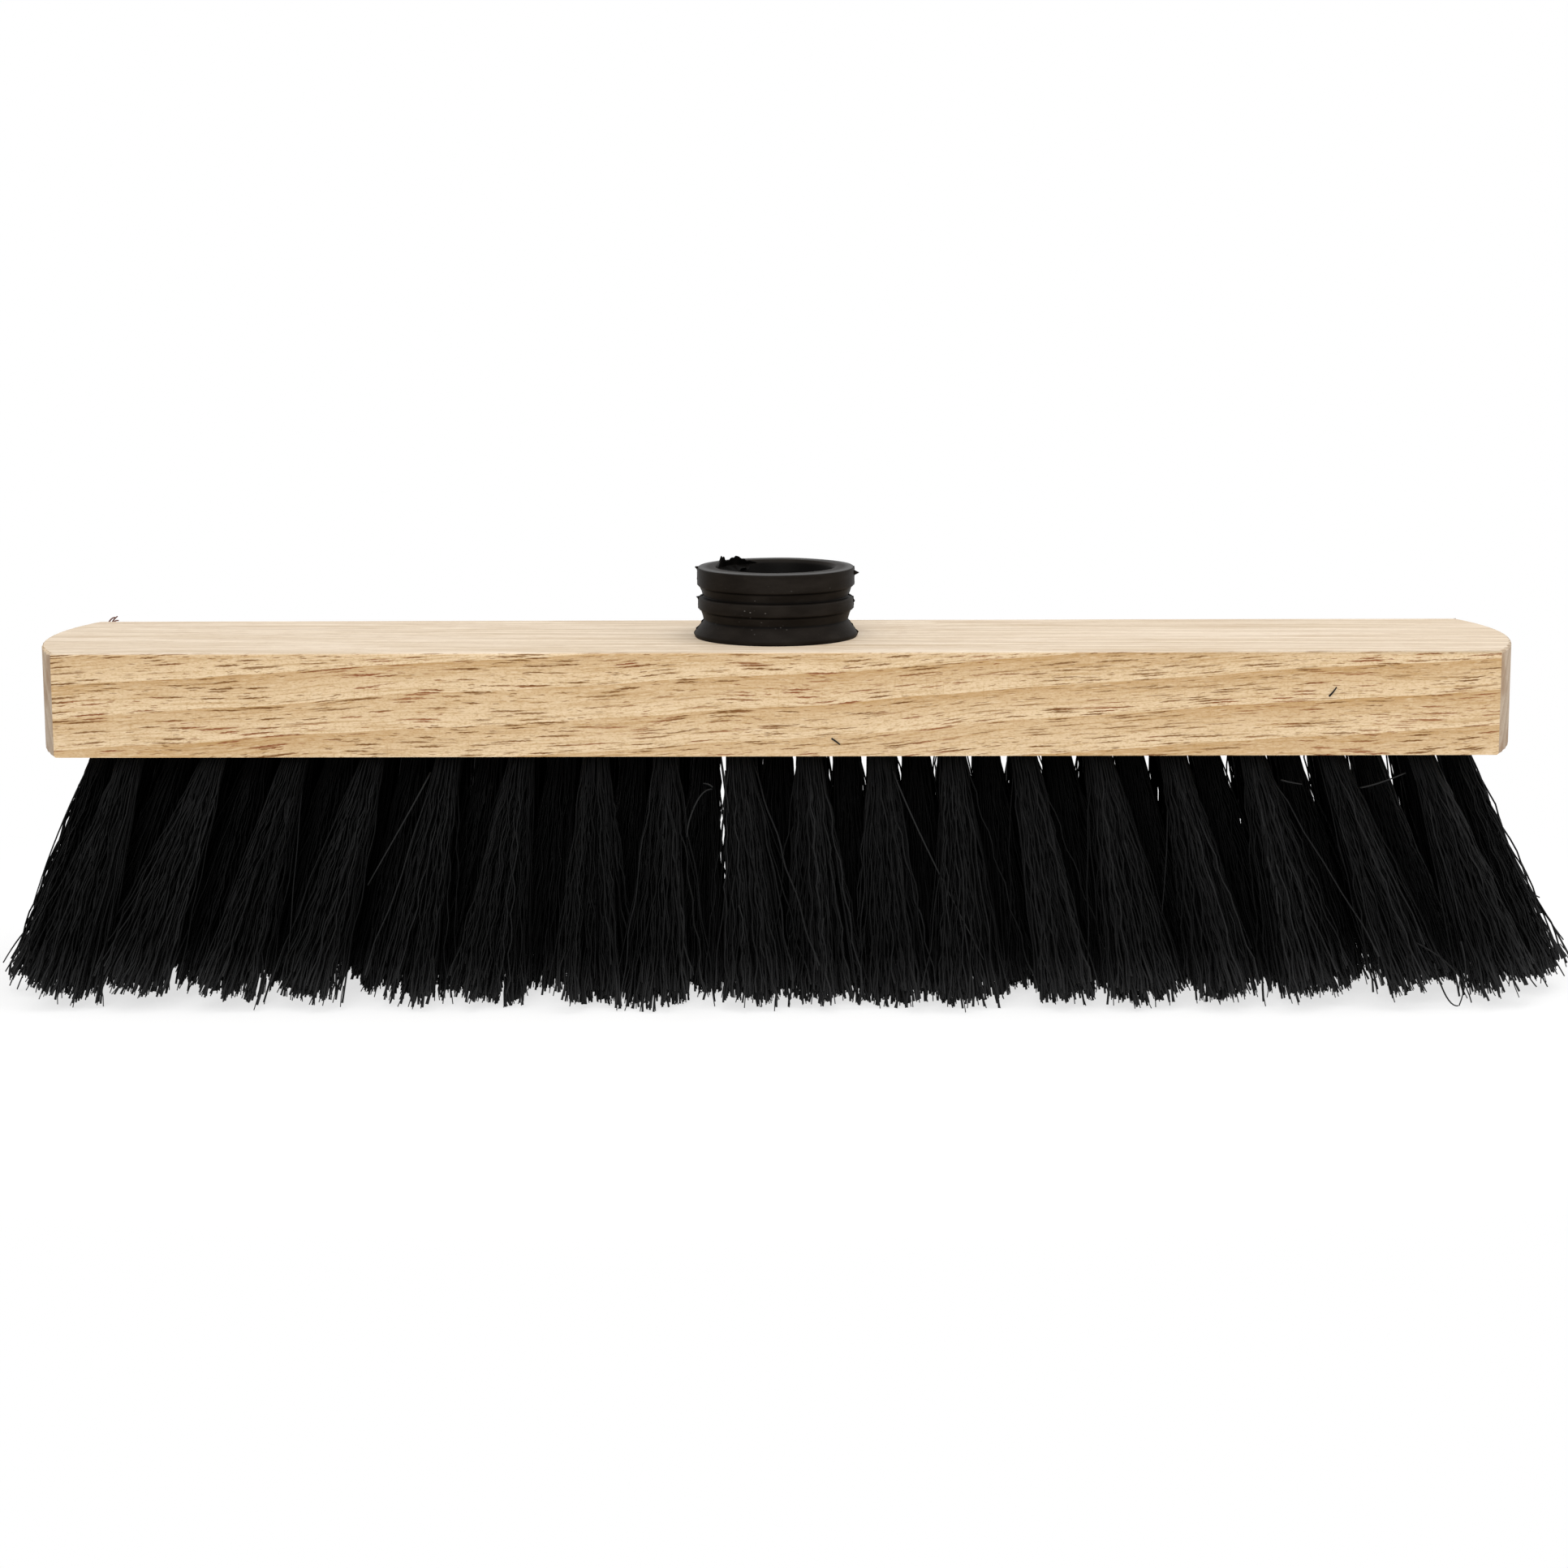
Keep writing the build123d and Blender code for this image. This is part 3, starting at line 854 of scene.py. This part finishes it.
def crimped_fibre():
    material, tree, shader, _ = finish_named("crimped_fibre", roughness=0.5, specular=0.08)
    shade, along, inner = (
        add(tree, "ShaderNodeAttribute", {}, attribute_name=name).outputs["Fac"]
        for name in ("shade", "along", "inner")
    )
    colour = tint(tree, calc(tree, "POWER", shade, 3.0), FIBRE_BLACK, FIBRE_GREY)
    # Painted shade: fibres of the inner rows are darker along most of their length, most near the
    # wood.
    inner_shade = times(tree, inner, ramp(tree, along, 0.1, 0.85, 1.0, 0.15))
    colour = tint(tree, inner_shade, colour, FIBRE_INNER_SHADE)
    # Painted shadow: every fibre goes darker near the wood, under the block.
    colour = tint(tree, ramp(tree, along, 0.02, 0.22, 0.75, 0.0), colour, FIBRE_BLACK)
    colour = tint(tree, ramp(tree, along, 0.8, 1.02, 0.0, 0.8), colour, FIBRE_ENDS)
    feed(tree, shader.inputs["Base Color"], colour)
    return material


def column_roots(column):
    """Roots of one column's tufts: start and tip of each, its width and how well it is seen."""
    roots = []
    middle_column = (COLUMN_COUNT - 1) / 2
    reach = (column - middle_column) / middle_column
    stretched = outer_root_x * (reach + END_STRETCH * reach**3) / (1 + END_STRETCH)
    for row in range(ROW_COUNT):
        if row % 2 == column % 2:
            continue
        off_middle = row - (ROW_COUNT - 1) / 2
        start = Vector((stretched + off_middle * ROW_SKEW, off_middle * row_step, block_low.z))
        start.x += (SHIFTED.get(column, 0) + chance_of_lean.uniform(-ROOT_SCATTER, ROOT_SCATTER)) * MM
        sway = (PARTING.get(column, 0) + chance_of_lean.gauss(0, LEAN_LENGTHWISE)) * MM
        if row == 0:
            sway = FRONT_SWAY[column // 2] * MM
        tip_x = start.x * spread_x + sway
        tip_y = start.y * spread_y + chance_of_lean.gauss(0, LEAN_SIDEWAYS) * MM
        outward = Vector((0, off_middle, 0)).normalized()
        at_end = abs(reach) > END_REACH
        if at_end:
            outward = (outward + Vector((reach, 0, 0))).normalized()
        in_outer_row = row in (0, ROW_COUNT - 1)
        if in_outer_row or at_end:
            knots = OUTER_KNOTS
        elif off_middle:
            knots = SECOND_KNOTS
        else:
            knots = MIDDLE_KNOTS
        root = {"start": start, "tip": Vector((tip_x, tip_y, 0)), "outward": outward}
        root["spread"] = OUTER_SPREAD if in_outer_row else INNER_SPREAD
        # Through this value the inner rows' fibres get painted shade.
        root["inner"] = 0.0 if in_outer_row else 1.0
        root["knots"] = knots
        roots.append(root)
    return roots


def grow_tufts(name, tree, roots, sizes):
    """Grows the fibres of one piece from its root points and leaves them as a plain mesh."""
    points = bpy.data.meshes.new(name)
    points.from_pydata([root["start"] for root in roots], [], [])
    for title, kind in ROOT_VALUES.items():
        layer = points.attributes.new(title, kind, "POINT")
        for item, root in zip(layer.data, roots):
            setattr(item, "vector" if kind == "FLOAT_VECTOR" else "value", root[title])
    piece = placed(name, points)
    grow = piece.modifiers.new("planted_fibres", "NODES")
    grow.node_group = tree
    for item in tree.interface.items_tree:
        if item.name in sizes:
            grow[item.identifier] = sizes[item.name]
    watched = bpy.context.evaluated_depsgraph_get()
    mesh = bpy.data.meshes.new_from_object(piece.evaluated_get(watched), depsgraph=watched)
    piece.modifiers.clear()
    piece.data = mesh
    return piece


planted_fibres = fibre_tree()
fibre_sizes = {
    "Fibre Count": FIBRES_PER_TUFT,
    "Root Radius": ROOT_RADIUS,
    "Tip Radius": TIP_RADIUS,
    "Bristle Length": 66.0 * MM,
    "Held Length": 3.0 * MM,
    "Fibre Radius": 0.27 * MM,
    "Crimp Height": 0.5 * MM,
    "Crimp Pitch": 12.0 * MM,
    "Hidden Knots": 8,
    "Whisker Reach": 0.8 * MM,
    "Pointedness": 0.6,
    "Lowest Tip": -2.4 * MM,
    "Material": crimped_fibre(),
}
for column in range(COLUMN_COUNT):
    fibre_sizes["Seed"] = 100 + 20 * column
    node = f"tuft_column_{column + 1:02d}"
    tufts = grow_tufts(f"crimped_{node}", planted_fibres, column_roots(column), fibre_sizes)
    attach(tufts, "root")
    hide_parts(node)

# --------------------
# Loose fibres
# Single fibres that have pulled out of their tufts and stand away from them, and two short ends
# that were trimmed off and cling to the rough front of the block.

STRAY_SIDES = 5
STRAY_STEPS = 10
STRAY_RADIUS = 0.26 * MM
STRAY_TAPER = 0.3  # part of its radius that a fibre loses towards its end
STRAY_BLACK = (0.012, 0.012, 0.012, 1)
STRAYS = (  # start, a point half way and end of each, in millimetres
    ((-187, -14, 60), (-196, -16, 41), (-203, -18, 22)),
    ((-194, -14, 41), (-198, -16, 35), (-203, -18, 20)),
    ((-205.5, -14, 14.5), (-208.5, -16, 11), (-212, -18, 5.5)),
    ((-205.5, -14, 13), (-208.5, -16, 8), (-211.5, -18, 3)),
    ((-205.5, -14, 10.5), (-208, -16, 5), (-210.5, -18, -1)),
    ((-204, -14, 8), (-206.5, -16, 3), (-208.5, -18, -2)),
    ((-92.5, -28, 60), (-98, -33, 50), (-109, -37, 31)),
    ((31.5, -28, 60), (40.5, -34, 40), (55.5, -40, 11)),
    ((135, -31, 58), (137.5, -32, 57.5), (140.5, -32, 57)),
    ((156, -32, 56), (161, -33, 57.5), (168, -32, 60)),
    ((196, 0, 37), (205, -2, 25), (211, -4, 20)),
    ((206, 0, 26), (213, -2, 15), (218, -4, 8)),
    ((206.5, -14, 16), (210.5, -16, 9.5), (215.5, -18, 1)),
    ((206, -14, 13), (210, -16, 7.5), (213.5, -18, 1.5)),
    ((204.5, -14, 10), (208, -16, 3.5), (211, -18, -2)),
    ((202.5, -14, 7), (205.5, -16, 1.5), (208, -18, -2)),
    ((171, -38, 15), (181, -39, 8), (186, -40, -1)),
    ((-22, -33, 50.6), (-19.6, -31.5, 54.6), (-16.9, -31, 55.8)),
    ((-22, -33, 50.6), (-23.2, -34, 47), (-23.6, -35, 43.6)),
    ((-16.8, -31, 56.3), (-18, -30.8, 57.1), (-19.4, -30.5, 57.2)),
    ((-14.7, -26, 64), (-13.6, -28, 57), (-12.5, -30, 49)),
    ((-12.1, -26, 64), (-13.4, -28, 55), (-15, -30, 47)),
    ((-13.4, -26, 60), (-13.7, -28, 52.5), (-14.6, -30, 40.5)),
    ((175.7, -40, 9.8), (179, -41, 1), (182.3, -41, -1.6)),
    ((182.6, -40, 15.8), (184, -41, 7), (182.5, -41, -1.6)),
    ((147.0, -33.1, 80.9), (148.0, -33.4, 82.1), (148.9, -33.1, 83.3)),
    ((15.0, -33.1, 69.8), (16.1, -33.3, 69.1), (17.2, -33.1, 68.2)),
)


def sweep(shape, points, radius, sides):
    """Adds a closed tube along the points to the bmesh, a little thinner at its far end."""
    rings = []
    count = len(points)
    for place, point in enumerate(points):
        ahead = points[min(place + 1, count - 1)] - points[max(place - 1, 0)]
        across = ahead.cross(Vector((0.3, 1, 0.2))).normalized()
        upright = ahead.cross(across).normalized()
        size = radius * (1 - STRAY_TAPER * place / (count - 1))
        ring = []
        for side in range(sides):
            turn = 2 * math.pi * side / sides
            outwards = across * math.cos(turn) + upright * math.sin(turn)
            ring.append(shape.verts.new(point + outwards * size))
        rings.append(ring)
    close_up(shape, rings)


def plain_finish(name, colour, roughness):
    material, _, shader, _ = finish_named(name, roughness, specular=0.1)
    shader.inputs["Base Color"].default_value = colour
    return material


def swept_piece(name, courses, radius, material):
    """One piece of thin tubes, each through the three points of its course."""
    shape = bmesh.new()
    for course in courses:
        start, middle, end = [Vector(point) * MM for point in course]
        pull = 2 * middle - (start + end) / 2
        sweep(shape, pulled_curve(start, pull, end, STRAY_STEPS), radius, STRAY_SIDES)
    mesh = mesh_of(shape, name)
    painted(mesh, material)
    piece = placed(name, mesh)
    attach(piece, "root")


loose_fibre = plain_finish("loose_fibre", STRAY_BLACK, 0.5)
swept_piece("loose_fibres", STRAYS, STRAY_RADIUS, loose_fibre)

# --------------------
# Splinters
# Slivers of the block's own wood, torn up by the saw along the back edge of its top near both
# ends and still rooted in it. Their broken fibres have gone reddish brown.

SPLINTER_RADIUS = 0.26 * MM
SPLINTER_BROWN = (0.150, 0.072, 0.058, 1)
SPLINTERS = (
    ((-189.9, 32.2, 92.4), (-189.0, 32.4, 93.7), (-187.9, 32.6, 94.2)),
    ((-188.9, 32.2, 92.4), (-188.2, 32.4, 93.6), (-187.2, 32.5, 94.5)),
    ((-188.4, 32.2, 92.4), (-187.8, 32.3, 93.2), (-186.9, 32.4, 93.3)),
    ((190.9, 31.8, 92.4), (191.5, 32.0, 92.8), (192.2, 32.2, 92.9)),
)

torn_wood = plain_finish("torn_wood", SPLINTER_BROWN, 0.7)
swept_piece("splinters", SPLINTERS, SPLINTER_RADIUS, torn_wood)

# --------------------
# Wire anchors
# Short pieces of flat steel wire, driven across the fold of each tuft at the bottom of its hole,
# with both ends bitten into the wood.

WIRE_STEEL = (0.42, 0.42, 0.43, 1)
WIRE_DULL = (0.20, 0.20, 0.20, 1)


def drawn_wire():
    material, tree, shader, place = finish_named("drawn_wire", roughness=0.38, specular=0.5)
    shader.inputs["Metallic"].default_value = 1.0
    drawn = cloud(tree, place, (3.0, 0.1, 0.1), 2.0)
    colour = tint(tree, times(tree, drawn, 0.4), WIRE_STEEL, WIRE_DULL)
    feed(tree, shader.inputs["Base Color"], colour)
    return material


wire = drawn_wire()
for row in range(ROW_COUNT):
    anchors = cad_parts[f"anchor_row_{row + 1}"]
    anchors.data.materials.clear()
    anchors.data.materials.append(wire)

# --------------------
# Floor, light and camera
# A pale floor just under the longest split ends, fading into white all round, soft lamps above,
# in front and at the right, and a long lens that looks slightly down from in front.

FLOOR_DROP = 2.6 * MM
FLOOR_PAINT = (0.93, 0.93, 0.93, 1)
FLOOR_REACH = 3.0
FLOOR_GLOW = 0.7  # part of white glow under the head
FLOOR_FADE = (230.0, 430.0)  # millimetres from the middle where the glow takes over
SKY_LEVEL = 0.52  # strength of the sky's light, of the white that is seen

floor_mesh = bpy.data.meshes.new("studio_floor")
floor_signs = ((-1, -1), (1, -1), (1, 1), (-1, 1))
floor_corners = [(x * FLOOR_REACH, y * FLOOR_REACH, -FLOOR_DROP) for x, y in floor_signs]
floor_mesh.from_pydata(floor_corners, [], [(0, 1, 2, 3)])
floor = placed("studio_floor", floor_mesh)


def seen_directly(tree):
    """1 for rays that reach the eye straight or by gloss or glass, 0 for those that light."""
    rays = tree.nodes.new("ShaderNodeLightPath").outputs
    seen = calc(tree, "MAXIMUM", rays["Is Camera Ray"], rays["Is Glossy Ray"])
    return calc(tree, "MAXIMUM", seen, rays["Is Transmission Ray"])


def floor_paint():
    """Part paint, which takes the head's shade, and part white glow, which is all further out."""
    material, tree, shader, place = finish_named("floor_paint", roughness=0.9, specular=0.0)
    shader.inputs["Base Color"].default_value = FLOOR_PAINT
    away = vector(tree, "LENGTH", vector(tree, "MULTIPLY", place, (1.0, 1.7, 0.0)))
    fade = ramp(tree, away, *FLOOR_FADE, FLOOR_GLOW, 1.0)
    fade = times(tree, fade, seen_directly(tree))
    glow = add(tree, "ShaderNodeEmission", {"Strength": 1.0}).outputs[0]
    blend = add(tree, "ShaderNodeMixShader", {0: fade, 1: shader.outputs[0], 2: glow}).outputs[0]
    feed(tree, tree.nodes["Material Output"].inputs[0], blend)
    return material


floor_mesh.materials.append(floor_paint())

world = bpy.data.worlds.new("studio")
world.use_nodes = True
bpy.context.scene.world = world
sky = world.node_tree
sky_level = ramp(sky, seen_directly(sky), 0.0, 1.0, SKY_LEVEL, 1.0)
feed(sky, sky.nodes["Background"].inputs["Strength"], sky_level)
sky.nodes["Background"].inputs["Color"].default_value = (1, 1, 1, 1)


def soft_lamp(name, place, aim, width, depth, watts):
    light = bpy.data.lights.new(name, "AREA")
    light.shape = "RECTANGLE"
    light.size = width
    light.size_y = depth
    light.energy = watts
    lamp = placed(name, light)
    lamp.location = place
    lamp.rotation_euler = (Vector(place) - Vector(aim)).to_track_quat("Z", "Y").to_euler()


soft_lamp("overhead", (0.1, -0.2, 1.3), (0, 0, 0.06), width=1.4, depth=1.0, watts=12.0)
soft_lamp("front", (-0.25, -1.45, 0.9), (0, 0, 0.06), width=0.9, depth=0.7, watts=10.0)
soft_lamp("right", (1.1, -0.5, 0.5), (0.15, 0, 0.07), width=0.7, depth=0.7, watts=2.8)

CAMERA_PLACE = (8.5 * MM, -939.5 * MM, 220.4 * MM)
CAMERA_DOWN = math.radians(10.186)
CAMERA_TURN = math.radians(-0.392)
CAMERA_ROLL = math.radians(-0.184)
SENSOR_WIDTH = 36  # millimetres, like the lens's length
LENS_LENGTH = 79.27

lens = bpy.data.cameras.new("camera")
lens.sensor_width = SENSOR_WIDTH
lens.lens = LENS_LENGTH
lens.clip_start = 0.01
lens.clip_end = 20
camera = placed("camera", lens)
camera_turn = Matrix.Rotation(-CAMERA_TURN, 4, "Z")
camera_tilt = Matrix.Rotation(math.pi / 2 - CAMERA_DOWN, 4, "X")
camera_roll = Matrix.Rotation(CAMERA_ROLL, 4, "Z")
camera.matrix_world = Matrix.Translation(CAMERA_PLACE) @ camera_turn @ camera_tilt @ camera_roll
bpy.context.scene.camera = camera

bpy.context.scene.view_settings.view_transform = "Standard"
